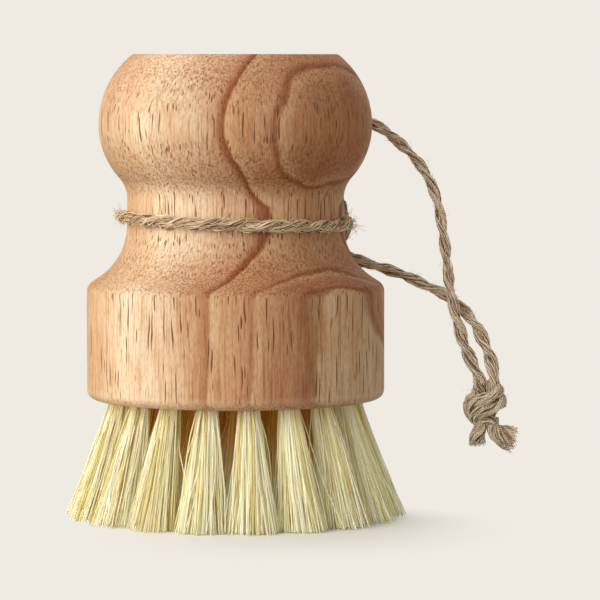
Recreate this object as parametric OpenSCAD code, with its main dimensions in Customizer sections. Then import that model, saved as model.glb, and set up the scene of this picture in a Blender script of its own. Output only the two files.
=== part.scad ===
// Palm brush: a turned wooden handle, 37 tufts of plant fibre and a hanging loop of jute twine.
// Millimetres, +Z up. The origin is on the surface that the brush stands on, under its axis.
// The front is -Y, and the twine hangs on the +X side.

/* [Handle] */
// Height of the wood, from the face that holds the tufts to the flat top
handle_h = 67; // [60:1:80]
// Diameter of the cylindrical base
base_d = 58; // [54:0.5:66]
// Height on the wood at which the base starts to round into the shoulder
base_h = 20.9; // [18:0.1:24]
// Diameter of the waist
neck_d = 42.2; // [34:0.2:46]
// Height on the wood of the lower end of the straight waist
neck_z = 34; // [31:0.5:38]
// Length of the straight waist
neck_len = 5; // [3:0.5:7]
// Largest diameter of the head
head_d = 53.2; // [50:0.2:60]
// Height on the wood of the head's largest diameter
head_z = 53.3; // [50:0.1:57]
// Diameter of the flat top
top_d = 39; // [24:1:44]

/* [Roundings] */
// Radius of the hollow between shoulder and waist
cove_r = 12.5; // [8:0.5:14]
// Radius of the shoulder, where the cove meets the base
shoulder_r = 2.2; // [1:0.1:4]
// Radius of the hollow under the head
collar_r = 6; // [3:0.5:9]
// Radius of the lower half of the head
chin_r = 15.3; // [10:0.1:18]
// Radius of the edge round the flat top
top_edge_r = 1.2; // [0.5:0.1:2.5]
// Radius of the lower edge of the base
base_edge_r = 1.8; // [0.5:0.1:3]

/* [Tufts] */
// Length of fibre between the wood and the tips
trim = 23; // [18:1:30]
// Number of rings of tufts round the centre one: ring k holds 6 k tufts
rings = 3; // [1:1:3]
// Distance between two rings at the wood
mouth_pitch = 7.6; // [7:0.1:8.2]
// Distance between two rings at the tips
tip_pitch = 9.37; // [9.2:0.01:10]
// Angle of the outer ring's first tuft, from the front towards +X
ring_turn = 6.4; // [0:0.1:20]
// Diameter of a tuft hole
hole_d = 4.6; // [4:0.1:5.2]
// Depth of a tuft hole
hole_depth = 9; // [7:0.5:12]
// Gap between a tuft's root and its hole
root_gap = 0.05; // [0.02:0.01:0.1]
// Length of root that stands out of its hole
root_out = 0.6; // [0.6:0.1:1]

/* [Strands] */
// Strands in a tuft's inner and outer circle, round the one in its middle
strand_counts = [4, 8];
// Radius of those circles, at the root
root_circles = [0.85, 1.6];
// Radius of those circles, at the tips
tip_circles = [1.9, 3.7];
// How far each tuft's strands are turned past those of the tuft before it
tuft_twist = 37; // [0:1:90]
// Width of a strand at its root
strand_root_w = 0.6; // [0.4:0.05:0.7]
// Width of a strand at its tip
strand_tip_w = 1; // [0.6:0.05:1.1]
// Depth inside the root at which the strands start
strand_start = 1.2; // [1:0.1:3]

/* [Anchors] */
// Thickness of an anchor strip
anchor_t = 0.4; // [0.2:0.05:0.6]
// Width of an anchor strip, along the hole
anchor_w = 1.8; // [1:0.1:2.5]
// Fibre between the strip and the bottom of the hole
anchor_cover = 1; // [0.8:0.1:2]
// Gap between a strip and the fibre round it
anchor_gap = 0.05; // [0.02:0.01:0.1]

/* [Twine] */
// Diameter of the twine
twine_d = 2.3; // [1.8:0.1:2.6]
// Gap between the twine and the waist
twine_gap = 0.35; // [0.3:0.05:0.5]
// Gap between two layers of twine, where it crosses itself
layer_gap = 0.5; // [0.48:0.01:0.8]
// Height of the turn round the waist, above the lower end of the waist
wrap_up = 0.75; // [0.5:0.05:2]
// How far the turn dips on the +X side and climbs on the other
wrap_dip = 0.7; // [0:0.1:1]
// Number of rings in the turn's tube
wrap_rings = 24; // [24:1:36]
// Sides of the tube of the turn and the hitch
wrap_sides = 6; // [6:1:8]
// Sides of the tubes of the free strands
strand_sides = 8; // [8:1:10]

/* [End knot] */
// Radius of the knot's upper lobe
knot_r = 3.9; // [3.4:0.1:4.5]
// Radius of the knot's lower lobe
knot_low_r = 3.3; // [3:0.1:3.6]
// Height of the knot
knot_h = 8; // [7:0.5:10]
// Radius of the short tail's frayed tip
short_tip_r = 0.9; // [0.6:0.1:1.6]
// Radius of the long tail's frayed tip
long_tip_r = 1.9; // [1.2:0.1:2.2]

/* [Hidden] */
handle_fn = 64;
hole_sides = 8;
arc_steps = 4;
edge_steps = 2;
neck_r = neck_d / 2;
wood_z = trim;
top_z = wood_z + handle_h;
ring_names = ["centre", "inner", "middle", "outer"];
two_digits = function (n) n < 10 ? str("0", n) : str(n);
TUFTS = ["tuft_centre", for (k = [1 : rings]) for (i = [1 : 6 * k]) tuft_name(k, i)];

// The turn round the waist: its height, and the radius of its centre line
wrap_z = wood_z + neck_z + wrap_up;
wrap_r = neck_r + twine_gap + twine_d / 2;
layer = twine_d + layer_gap;

// Where the twine leaves the turn. Each row: angle from +X towards the back, height above the turn,
// and layers of twine between this place and the waist. The upper strand comes down into the turn.
bend_route = [[48, 7.75, 1.3], [48, 5.65, 1.2], [49.5, 3.45, 0.92], [53.5, 1.45, 0.48], [59, 0.25, 0.16],
  [65, -0.25, 0.03]];
bend_end = 73;
hitch_start = 371;
// The half hitch: over the bend, round it, under the upper strand, over the turn and down
hitch_route = [[21, -0.75, 0.02], [29, -0.75, 0.04], [37, -0.65, 0.15], [45, -0.15, 0.85], [52, 0.45, 1.48],
  [58, 2.05, 1.5], [61.5, 4, 1.05], [60, 5.7, 0.5], [55, 6.25, 0.2], [48, 6.05, 0.16], [41, 5.65, 0.16],
  [35, 4.25, 0.27], [31.5, 2.05, 0.76], [31, -0.55, 1.04], [31.5, -2.95, 1.02], [34.5, -5.55, 0.95],
  [36, -7.15, 1.18], [32.5, -8.15, 1.7]];
// The free strands, from the hitch to the end knot. Each point: distance out from the waist along X,
// place along Y, and height above the turn
upper_route = [[-2.3, 19.4, 11.8], [1, 17.8, 15.7], [4.1, 15.3, 18.8], [7.3, 12.8, 17.9], [10.1, 11.8, 15.8],
  [13.2, 11.2, 13], [15.7, 10.8, 10], [17.5, 10.5, 6.6], [18.9, 10.2, 2.8], [19.6, 10, -1], [20.3, 10, -5],
  [20.7, 10, -8.7], [21.1, 10, -12.4], [21.7, 10.1, -16], [22.8, 10.5, -20.5], [24.2, 11, -25.1],
  [25.9, 11.6, -29], [27.4, 12, -32.1]];
lower_route = [[7.4, 13.4, -10], [11.4, 13, -11.2], [15, 13.4, -12.8], [18.7, 13.7, -14.6], [21.4, 13.7, -16.1],
  [24.3, 13.4, -18.7], [26.4, 13, -21.2], [28, 12.7, -24.2], [29.2, 12.4, -27.2], [30, 12.1, -29.9],
  [30.2, 12, -32.1]];
// The frayed tails, from the underside of the knot
short_tail_route = [[0, 0, 0], [0, 0, -1], [-0.5, 0, -2.4], [-0.4, 0.1, -4.3]];
long_tail_route = [[0, 0, 0], [0, 0, -0.8], [1, 0, -1.9], [2.9, 0, -2.7], [4.6, 0.1, -3.2]];
// Where they leave it, on each side of its axis
tail_apart = 1.35;

function unit(v) = v / norm(v);
function polar(r, angle, z) = [r * cos(angle), r * sin(angle), z];
function tuft_name(k, i) = str("tuft_", ring_names[k], "_", two_digits(i));

// Points of an arc in the plane of the handle's outline
function arc(centre, r, from, to, steps = arc_steps) =
  [for (i = [0 : steps]) centre + r * [cos(from + (to - from) * i / steps), sin(from + (to - from) * i / steps)]];

// Two arcs that run from one upright stretch of the outline to another, with a straight line between
// them that touches both. low and high are the ends, and the arcs are drawn in if they don't fit.
function sweep_between(low, high, low_r, high_r) =
  let (w = abs(high.x - low.x), h = high.y - low.y, side = sign(high.x - low.x))
  let (fit = min(1, 0.999 * (w * w + h * h) / (2 * w * (low_r + high_r))))
  let (a = low_r * fit, b = high_r * fit, straight = sqrt(w * w - 2 * w * (a + b) + h * h))
  let (turn = atan2(w - a - b, h) + atan2(a + b, straight))
  concat(
    [for (p = arc([0, 0], a, 0, turn)) low + [side * (a - p.x), p.y]],
    [for (p = arc([0, 0], b, turn, 0)) high + [side * (p.x - b), -p.y]]);

// Half outline of the wood, as points of radius and height
function crown_radius(across, up) = (across * across + up * up - top_edge_r * top_edge_r)
  / (2 * (across - top_edge_r));
function handle_outline() =
  let (base_r = base_d / 2, head_r = head_d / 2, head_at = wood_z + head_z, top_r = top_d / 2)
  let (edge_z = top_z - top_edge_r, crown_r = crown_radius(head_r - top_r, edge_z - head_at))
  let (crown_end = atan2(edge_z - head_at, top_r - head_r + crown_r))
  concat(
    arc([base_r - base_edge_r, wood_z + base_edge_r], base_edge_r, -90, 0, edge_steps),
    sweep_between([base_r, wood_z + base_h], [neck_r, wood_z + neck_z], shoulder_r, cove_r),
    sweep_between([neck_r, wood_z + neck_z + neck_len], [head_r, head_at], collar_r, chin_r),
    [for (i = [1 : arc_steps]) [head_r - crown_r, head_at]
      + crown_r * [cos(crown_end * i / arc_steps), sin(crown_end * i / arc_steps)]],
    [for (i = [1 : edge_steps]) let (a = crown_end + (90 - crown_end) * i / edge_steps)
      [top_r, edge_z] + top_edge_r * [cos(a), sin(a)]]);
function wood_radius(z) = lookup(z, [for (p = handle_outline()) [p.y, p.x]]);

// A tuft's place: ring k and its number i. Ring k's tufts are spaced evenly from its first one.
function tuft_angle(k, i) = -90 + ring_turn * k / rings + (i - 1) * 60 / max(k, 1);
function tuft_tilt(k) = atan2(k * (tip_pitch - mouth_pitch), trim);

module at_hole(k, i) {
  rotate([0, 0, tuft_angle(k, i)]) translate([k * mouth_pitch, 0, wood_z]) rotate([0, -tuft_tilt(k), 0])
    children();
}

module each_tuft() {
  for (k = [0 : rings]) for (i = [1 : max(6 * k, 1)]) at_hole(k, i) children();
}

module handle() {
  outline = handle_outline();
  color("burlywood") difference() {
    rotate_extrude($fn = handle_fn) polygon(concat([[0, wood_z]], outline, [[0, top_z]]));
    each_tuft() translate([0, 0, -2]) cylinder(h = hole_depth + 2, d = hole_d, $fn = hole_sides);
  }
}

// The strip that holds a tuft lies across its hole, in the fold of the fibre
module anchor_strip(gap = 0, length = hole_d - 4 * root_gap) {
  translate([0, 0, hole_depth - anchor_cover - anchor_w / 2])
    cube([anchor_t + 2 * gap, length, anchor_w + 2 * gap], center = true);
}

module anchor_strips() {
  color("goldenrod") each_tuft() anchor_strip();
}

// One strand: four sides, level at both ends, from the place that starts it to its tip on the floor
module strand(start, tip) {
  sides = 4;
  corner = [for (s = [0 : sides - 1]) [cos(45 + 90 * s), sin(45 + 90 * s), 0]];
  points = concat([for (c = corner) tip + c * strand_tip_w * sqrt(0.5)],
    [for (c = corner) start + c * strand_root_w * sqrt(0.5)]);
  polyhedron(points, concat(
    [[0, 1, 2], [0, 2, 3], [4, 6, 5], [4, 7, 6]],
    [for (s = [0 : sides - 1]) [s, sides + s, (s + 1) % sides]],
    [for (s = [0 : sides - 1]) [(s + 1) % sides, sides + s, sides + (s + 1) % sides]]));
}

// A tuft: the root that fills its hole, and the strands that fan out from it
module tuft(k, i) {
  start_z = wood_z + strand_start;
  start = [k * (mouth_pitch - (tip_pitch - mouth_pitch) * strand_start / trim), 0, start_z];
  tip = [k * tip_pitch, 0, 0];
  own_turn = tuft_twist * (i % max(3 * k, 1));
  root_d = hole_d - 2 * root_gap;
  color("palegoldenrod") union() {
    at_hole(k, i) difference() {
      translate([0, 0, -root_out]) cylinder(h = hole_depth + root_out, d = root_d, $fn = hole_sides);
      anchor_strip(anchor_gap, hole_d + 1);
    }
    rotate([0, 0, tuft_angle(k, i)]) {
      strand(start, tip);
      for (c = [0 : len(strand_counts) - 1]) for (s = [1 : strand_counts[c]]) {
        a = own_turn + 360 * (s + c / 2) / strand_counts[c];
        strand(start + polar(root_circles[c], a, 0), tip + polar(tip_circles[c], a, 0));
      }
    }
  }
}

// A tube of twine through a list of centres. The first and last face stand square to the twine.
function directions(route) = let (last = len(route) - 1)
  [for (i = [0 : last]) unit(unit(route[min(i + 1, last)] - route[max(i - 1, 0)]))];
function steady_sides(d) = [for (i = 0, n = unit(cross(d[0], [0.3, 0.2, 1])); i < len(d);
  i = i + 1, n = i < len(d) ? unit(n - (n * d[i]) * d[i]) : n) n];

module tube(route, sides, radii, first, last) {
  d = directions(route);
  n = steady_sides(d);
  count = last - first + 1;
  points = [for (i = [first : last]) for (s = [0 : sides - 1])
    route[i] + radii[i] * (cos(360 * s / sides) * n[i] + sin(360 * s / sides) * cross(d[i], n[i]))];
  wall = [for (i = [0 : count - 2]) for (s = [0 : sides - 1])
    let (a = i * sides + s, b = i * sides + (s + 1) % sides)
      each [[a, a + sides, b], [b, a + sides, b + sides]]];
  ends = [for (s = [1 : sides - 2]) each [[0, s, s + 1],
    [(count - 1) * sides, (count - 1) * sides + s + 1, (count - 1) * sides + s]]];
  polyhedron(points, concat(wall, ends));
}

// A smooth curve through chosen points, with each stretch cut into the given number of parts
function curve_point(p, i, t) =
  let (last = len(p) - 1, a = p[max(i - 1, 0)], b = p[i], c = p[min(i + 1, last)], e = p[min(i + 2, last)])
    0.5 * (2 * b + (c - a) * t + (2 * a - 5 * b + 4 * c - e) * t * t + (3 * b - a - 3 * c + e) * t * t * t);
function smooth(p, parts) = [for (i = [0 : len(p) - 2]) for (j = [0 : parts - 1]) curve_point(p, i, j / parts),
  p[len(p) - 1]];

// The twine from the upper strand, round the waist, through the hitch, to the lower strand
function round_waist(row) = polar(wrap_r + row[2] * layer, row[0], wrap_z + row[1]);
bend = [for (row = bend_route) round_waist(row)];
turn = [for (i = [0 : wrap_rings - 3]) let (a = bend_end + (hitch_start - bend_end) * i / (wrap_rings - 3))
  round_waist([a, -wrap_dip * cos(a), 0])];
hitch = [for (row = hitch_route) round_waist(row)];
tie = concat(bend, turn, smooth(concat([turn[len(turn) - 1]], hitch), 2));
tie_split = len(bend) + len(turn);

// The free strands start on the faces where the tie ends, and run straight into the knot
function from_waist(route) = [for (p = route) [neck_r + p.x, p.y, wrap_z + p.z]];
upper = concat([tie[0]], from_waist(upper_route));
lower = concat([tie[len(tie) - 1]], from_waist(lower_route));
knot_top = (upper[len(upper) - 1] + lower[len(lower) - 1]) / 2;

// The whole length of twine between the two entries of the knot, so that neighbours share their faces
upper_part = [for (i = [len(upper) - 1 : -1 : 1]) upper[i]];
lower_part = [for (i = [1 : len(lower) - 1]) lower[i]];
ends_down = [0, 0, -twine_d / 2];
twine = concat([upper_part[0] + ends_down], upper_part, tie, lower_part,
  [lower_part[len(lower_part) - 1] + ends_down]);
tie_first = len(upper_part) + 1;
hitch_first = tie_first + tie_split;
tie_last = tie_first + len(tie) - 1;

module twine_part(first, last, sides) {
  color("tan") tube(twine, sides, [for (p = twine) twine_d / 2], first, last);
}

module neck_wrap() { twine_part(tie_first, hitch_first, wrap_sides); }
module half_hitch() { twine_part(hitch_first, tie_last, wrap_sides); }
module upper_strand() { twine_part(0, tie_first, strand_sides); }
module lower_strand() { twine_part(tie_last, len(twine) - 1, strand_sides); }

// The end knot: two round lobes with a crease between them, flat where the strands go in and out
module end_knot() {
  flat_r = 2.6;
  top_at = knot_top + ends_down;
  crease = knot_h * 0.45;
  color("tan") translate(top_at - [0, 0, knot_h]) rotate_extrude($fn = 32) polygon([
    [0, 0], [flat_r, 0], [knot_low_r, crease * 0.35], [knot_low_r, crease * 0.7], [knot_low_r - 0.4, crease],
    [knot_r, crease + (knot_h - crease) * 0.3], [knot_r, crease + (knot_h - crease) * 0.7],
    [flat_r, knot_h], [0, knot_h]]);
}

// A tail starts square to the knot's flat underside, and opens towards its tip
module tail(route, side, tip_r) {
  start = knot_top + ends_down + [side * tail_apart, 0, -knot_h];
  path = concat([start - [0, 0, route[1].z]], [for (p = route) start + p]);
  last = len(path) - 1;
  radii = [for (i = [0 : last]) twine_d / 2 + (tip_r - twine_d / 2) * pow(i / last, 2)];
  color("tan") tube(path, strand_sides, radii, 1, last);
}

module short_tail() { tail(short_tail_route, -1, short_tip_r); }
module long_tail() { tail(long_tail_route, 1, long_tip_r); }

// Least gap of the tie to itself, between places more than a few rings apart, and to the wood
function near_line(p, a, b) = let (t = max(0, min(1, (p - a) * (b - a) / ((b - a) * (b - a)))))
  norm(p - a - t * (b - a));
skip = 4;
self_gap = min([for (i = [0 : len(twine) - 2]) for (j = [i + skip : len(twine) - 2])
  near_line(twine[i], twine[j], twine[j + 1])]) - twine_d;
wood_gap = min([for (p = twine) if (p.z > wood_z) norm([p.x, p.y]) - wood_radius(p.z)]) - twine_d / 2;
echo(twine_gap_to_itself = self_gap, twine_gap_to_wood = wood_gap,
  twine_length = [for (i = 0, s = 0; i < len(twine); i = i + 1, s = i < len(twine) ? s + norm(twine[i]
    - twine[i - 1]) : s) s][len(twine) - 1]);

handle();
tuft(0, 1);  // tuft_centre
for (k = [1 : rings]) for (i = [1 : 6 * k])
  tuft(k, i);
anchor_strips();
neck_wrap();
half_hitch();
upper_strand();
lower_strand();
end_knot();
short_tail();
long_tail();
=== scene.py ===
"""Looks of the palm brush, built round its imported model.

Shapes are worked out in millimetres, in the row frame, and turned into metres when a mesh is made.
The wood, the fibres and the twine are new pieces. The anchor strips keep their CAD solids.
"""
import math

import bpy
import numpy as np
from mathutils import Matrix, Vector, geometry


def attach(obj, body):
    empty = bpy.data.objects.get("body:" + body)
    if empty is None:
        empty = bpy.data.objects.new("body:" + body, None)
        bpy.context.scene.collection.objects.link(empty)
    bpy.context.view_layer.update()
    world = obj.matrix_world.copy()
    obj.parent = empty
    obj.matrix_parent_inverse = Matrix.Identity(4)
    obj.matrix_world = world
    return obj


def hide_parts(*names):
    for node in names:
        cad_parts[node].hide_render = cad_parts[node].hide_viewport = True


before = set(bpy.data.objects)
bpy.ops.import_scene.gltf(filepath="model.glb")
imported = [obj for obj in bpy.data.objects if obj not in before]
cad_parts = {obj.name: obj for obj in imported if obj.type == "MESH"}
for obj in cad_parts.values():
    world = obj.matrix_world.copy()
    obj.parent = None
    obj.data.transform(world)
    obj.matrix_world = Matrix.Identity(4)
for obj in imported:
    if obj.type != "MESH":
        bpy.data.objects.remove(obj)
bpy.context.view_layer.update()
MM = 0.001

# The handle and the tufts, as in the CAD. All sizes here are in millimetres.
TRIM = 23.0  # from the floor to the wood's underside
TOP_Z = 90.0
BASE_R = 29.0
BASE_H = 20.9  # the upright part of the base; this and the next heights are above the underside
NECK_R = 21.1
NECK_Z = 34.0
NECK_LEN = 5.0
HEAD_R = 26.6
HEAD_Z = 53.3  # where the head is widest
TOP_R = 19.5
COVE_R = 12.5  # from base to waist: the hollow arc, and below it the round shoulder
SHOULDER_R = 2.2
COLLAR_R = 6.0  # from waist to head: the hollow arc, and above it the round chin
CHIN_R = 15.3
TOP_EDGE_R = 1.2
BASE_EDGE_R = 1.8
RINGS = 3
RING_NAMES = ("centre", "inner", "middle", "outer")
RING_TURN = 6.4  # how far the outer ring is turned, in degrees
MOUTH_PITCH = 7.6  # from ring to ring at the wood, and at the floor
TIP_PITCH = 9.37
HOLE_R = 2.3
HOLE_DEPTH = 9.0

# The twine, as in the CAD. A row of the bend and the hitch is an angle, a height above the turn and
# a number of layers; a row of a free strand is a distance out from the waist, a place along Y and a
# height above the turn.
TWINE_D = 2.3
TWINE_GAP = 0.35
LAYER = 2.8
WRAP_Z = 57.75
WRAP_R = NECK_R + TWINE_GAP + TWINE_D / 2
WRAP_DIP = 0.7  # how far the turn lies lower on the side of the loop
WRAP_RINGS = 24
BEND_END = 73  # the angles at which the bend ends and the hitch starts
HITCH_START = 371
BEND = [(48, 7.75, 1.3), (48, 5.65, 1.2), (49.5, 3.45, 0.92), (53.5, 1.45, 0.48), (59, 0.25, 0.16),
        (65, -0.25, 0.03)]
HITCH = [(21, -0.75, 0.02), (29, -0.75, 0.04), (37, -0.65, 0.15), (45, -0.15, 0.85), (52, 0.45, 1.48),
         (58, 2.05, 1.5), (61.5, 4, 1.05), (60, 5.7, 0.5), (55, 6.25, 0.2), (48, 6.05, 0.16),
         (41, 5.65, 0.16), (35, 4.25, 0.27), (31.5, 2.05, 0.76), (31, -0.55, 1.04), (31.5, -2.95, 1.02),
         (34.5, -5.55, 0.95), (36, -7.15, 1.18), (32.5, -8.15, 1.7)]
UPPER = [(-2.3, 19.4, 11.8), (1, 17.8, 15.7), (4.1, 15.3, 18.8), (7.3, 12.8, 17.9), (10.1, 11.8, 15.8),
         (13.2, 11.2, 13), (15.7, 10.8, 10), (17.5, 10.5, 6.6), (18.9, 10.2, 2.8), (19.6, 10, -1),
         (20.3, 10, -5), (20.7, 10, -8.7), (21.1, 10, -12.4), (21.7, 10.1, -16), (22.8, 10.5, -20.5),
         (24.2, 11, -25.1), (25.9, 11.6, -29), (27.4, 12, -32.1)]
LOWER = [(7.4, 13.4, -10), (11.4, 13, -11.2), (15, 13.4, -12.8), (18.7, 13.7, -14.6), (21.4, 13.7, -16.1),
         (24.3, 13.4, -18.7), (26.4, 13, -21.2), (28, 12.7, -24.2), (29.2, 12.4, -27.2), (30, 12.1, -29.9),
         (30.2, 12, -32.1)]
KNOT_H = 8.0
TAIL_APART = 1.35
SHORT_TAIL = [(0, 0, 0), (0, 0, -1), (-0.5, 0, -2.4), (-0.4, 0.1, -4.3)]
LONG_TAIL = [(0, 0, 0), (0, 0, -0.8), (1, 0, -1.9), (2.9, 0, -2.7), (4.6, 0.1, -3.2)]

# One source of random numbers, so that every run draws the same fibres and hairs
chance = np.random.default_rng(11)

# The camera: its lens and sensor in millimetres, and its place and the point it looks at in metres
LENS = 223.4
SENSOR = 36
CAMERA_AT = (0, -0.725, 0.090)
CAMERA_AIM = (0.01256, 0, 0.0421)


def place_camera():
    """A long lens level with the top of the brush, which looks down a little and right of its axis."""
    camera = bpy.data.objects.new("camera", bpy.data.cameras.new("camera"))
    bpy.context.scene.collection.objects.link(camera)
    camera.data.lens = LENS
    camera.data.sensor_width = SENSOR
    camera.location = CAMERA_AT
    aim = Vector(CAMERA_AIM) - camera.location
    camera.rotation_euler = aim.to_track_quat("-Z", "Y").to_euler()
    bpy.context.scene.camera = camera


def colour(red, green, blue):
    """A linear colour from the 0 to 255 values of a screen colour."""
    parts = [c / 255 for c in (red, green, blue)]
    return (*[c / 12.92 if c < 0.04045 else ((c + 0.055) / 1.055) ** 2.4 for c in parts], 1)


def shades(rows):
    """The stops of a ramp, from places along it and screen colours."""
    return [(place, colour(*rgb)) for place, rgb in rows]


class Value:
    """Something that varies over a surface. It wraps a node's output socket, and arithmetic on it adds
    the Math node that does it."""

    def __init__(self, nodes, socket):
        self.nodes = nodes
        self.socket = socket

    def __add__(self, other):
        return self.nodes.math("ADD", self, other)

    def __radd__(self, other):
        return self.nodes.math("ADD", other, self)

    def __sub__(self, other):
        return self.nodes.math("SUBTRACT", self, other)

    def __rsub__(self, other):
        return self.nodes.math("SUBTRACT", other, self)

    def __mul__(self, other):
        return self.nodes.math("MULTIPLY", self, other)

    def __rmul__(self, other):
        return self.nodes.math("MULTIPLY", other, self)

    def __gt__(self, other):
        return self.nodes.math("GREATER_THAN", self, other)

    def __abs__(self):
        return self.nodes.math("ABSOLUTE", self)


class Nodes:
    """The nodes of a material or of the world."""

    def __init__(self, owner):
        owner.use_nodes = True
        self.owner = owner
        self.tree = owner.node_tree

    def feed(self, socket, value):
        """Link a Value to the socket, or write a plain number, colour or vector into it."""
        if isinstance(value, Value):
            self.tree.links.new(value.socket, socket)
        else:
            socket.default_value = value

    def node(self, kind, settings, sockets, out=0):
        """A new node. Its settings are set first, and then each named socket gets its value or link.
        A ramp's stops are a setting: each is a place from 0 to 1 and a colour."""
        node = self.tree.nodes.new("ShaderNode" + kind)
        for key, value in settings.items():
            if key == "stops":
                elements = node.color_ramp.elements
                elements.remove(elements[1])
                elements[0].position, elements[0].color = value[0]
                for place, shade in value[1:]:
                    elements.new(place).color = shade
            else:
                setattr(node, key, value)
        for key, value in sockets.items():
            self.feed(node.inputs[key], value)
        return Value(self, node.outputs[out])

    def math(self, operation, *values):
        """A Math node on plain numbers and Values."""
        return self.node("Math", {"operation": operation}, dict(enumerate(values)))

    def split(self, vector):
        """The three parts of a vector."""
        outputs = self.node("SeparateXYZ", {}, {0: vector}).socket.node.outputs
        return [Value(self, socket) for socket in outputs]

    def stretch(self, vector, *factors):
        """The vector with each part multiplied by its factor."""
        return self.node("VectorMath", {"operation": "MULTIPLY"}, {0: vector, 1: factors})

    def noise(self, vector, detail=2.0, out="Fac"):
        """Smooth noise, from about 0.2 to 0.8, round 0.5."""
        return self.node("TexNoise", {}, {"Vector": vector, "Scale": 1.0, "Detail": detail}, out)

    def remap(self, value, low, high, to_low=0.0, to_high=1.0, smooth=False):
        """The value carried from one range to another, and held at its ends."""
        kind = "SMOOTHSTEP" if smooth else "LINEAR"
        return self.node("MapRange", {"interpolation_type": kind},
                         {0: value, 1: low, 2: high, 3: to_low, 4: to_high})

    def ramp(self, value, stops):
        """The colour that lies at the value among the stops."""
        return self.node("ValToRGB", {"stops": stops}, {"Fac": value})

    def mix(self, factor, a, b, blend="MIX"):
        """Colour a where the factor is 0, and b blended over it where the factor is 1."""
        return self.node("Mix", {"data_type": "RGBA", "blend_type": blend}, {0: factor, 6: a, 7: b}, 2)

    def tint(self, base, value, stops):
        """base multiplied by the colour that the ramp gives for the value."""
        return self.mix(1.0, base, self.ramp(value, stops), "MULTIPLY")

    def attribute(self, name):
        """A value that the piece's points carry."""
        return self.node("Attribute", {"attribute_name": name}, {}, "Fac")

    def seen(self):
        """1 for a ray from the camera, a mirror or glass, and 0 for the rest of the light."""
        rays = self.node("LightPath", {}, {}).socket.node.outputs
        camera, glossy, through = (Value(self, rays[f"Is {kind} Ray"])
                                   for kind in ("Camera", "Glossy", "Transmission"))
        return self.math("MAXIMUM", camera, self.math("MAXIMUM", glossy, through))


def new_material(name, roughness, specular):
    """The nodes of a new material, with its main surface as their surface."""
    s = Nodes(bpy.data.materials.new(name))
    s.surface = s.tree.nodes["Principled BSDF"]
    s.surface.inputs["Roughness"].default_value = roughness
    s.surface.inputs["Specular IOR Level"].default_value = specular
    return s


# Growth rings: places along q, in millimetres, and the wood's colour there. It darkens slowly
# towards the end of each year's growth, and is light again just past it. Its darker tones from q 13
# to 28, on the front right, away from the key light, are partly painted shade.
RING_STOPS_WITH_PAINTED_SHADE = [
    (-40, (226, 197, 159)), (-22, (225, 195, 156)), (-10, (226, 195, 156)), (-4, (235, 207, 170)),
    (2, (245, 222, 188)), (4, (250, 232, 200)), (6, (250, 233, 202)), (7.5, (244, 225, 195)),
    (13, (233, 207, 176)), (16.5, (217, 183, 149)), (18.6, (200, 156, 120)), (19.1, (197, 151, 115)),
    (19.4, (224, 188, 150)), (21.0, (212, 172, 134)), (23.2, (208, 164, 128)), (24.3, (200, 154, 118)),
    (24.6, (220, 182, 144)), (25.2, (213, 173, 136)), (26.4, (205, 161, 125)), (27.4, (192, 145, 110)),
    (28.0, (174, 124, 90)), (28.3, (224, 196, 162)), (32, (242, 221, 192)), (40, (240, 218, 188))]
# Darker lines in the wood: where each starts, is darkest and ends, and what it multiplies the wood by
RING_LINES = [(17.8, 18.8, 19.3, (204, 168, 146)), (23.7, 24.2, 24.5, (204, 168, 146)),
              (25.0, 25.8, 27.0, (234, 218, 208)), (27.3, 27.9, 28.3, (204, 168, 146))]
LINE_EDGE = 0.15
Q_LOW = -40.0
Q_HIGH = 40.0
RING_BOW = 1 / 208
# Where the rings lean outwards. Each row: the stretch of v over which q grows, by how much it grows,
# and the stretch of z over which that sets in.
LOW_LEAN = (4, 20, 6.5, TRIM + BASE_H, TRIM + 5)
HEAD_LEAN = (3, 19, 3.6, TRIM + 36, TRIM + 44)
# The middle of the ring in the head, and how much q grows above and below it
HEAD_MID_Z = 77.5
HEAD_BULGE = 2.5

# Tints of the wood: what its colour is multiplied by along the noise of each
CLEAR = (255, 255, 255)
MOTTLE = shades([(0.42, CLEAR), (0.72, (246, 230, 218))])
STREAKS = shades([(0.30, CLEAR), (0.50, (249, 245, 241)), (0.60, (236, 222, 210)),
                  (0.72, (218, 192, 172))])
SPECKS = shades([(0.32, CLEAR), (0.5, (251, 247, 244)), (0.68, (234, 219, 206))])
END_GRAIN = colour(176, 130, 102)

# The open pores: the size of the cell that holds one, in millimetres, how many cells stay empty, and
# the colours of a pore, of its rim and of the worn lower edge of the base
PORE_CELL = (0.5, 0.5, 12.0)
PORE_EMPTY = 1.26
PORE_DARK = colour(108, 60, 24)
PORE_RIM = colour(244, 214, 174)
WORN_EDGE = colour(240, 214, 178)


def along_q(rows):
    """Shades at places along q, as the stops of a ramp from Q_LOW to Q_HIGH."""
    return shades([((at - Q_LOW) / (Q_HIGH - Q_LOW), rgb) for at, rgb in rows])


def lean(s, v, z, row):
    """What a lean adds to q: it grows in a straight line with v, and sets in smoothly with z."""
    v_start, v_end, most, z_start, z_end = row
    return s.remap(v, v_start, v_end, 0, most) * s.remap(z, z_start, z_end, 0, 1, True)


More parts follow.
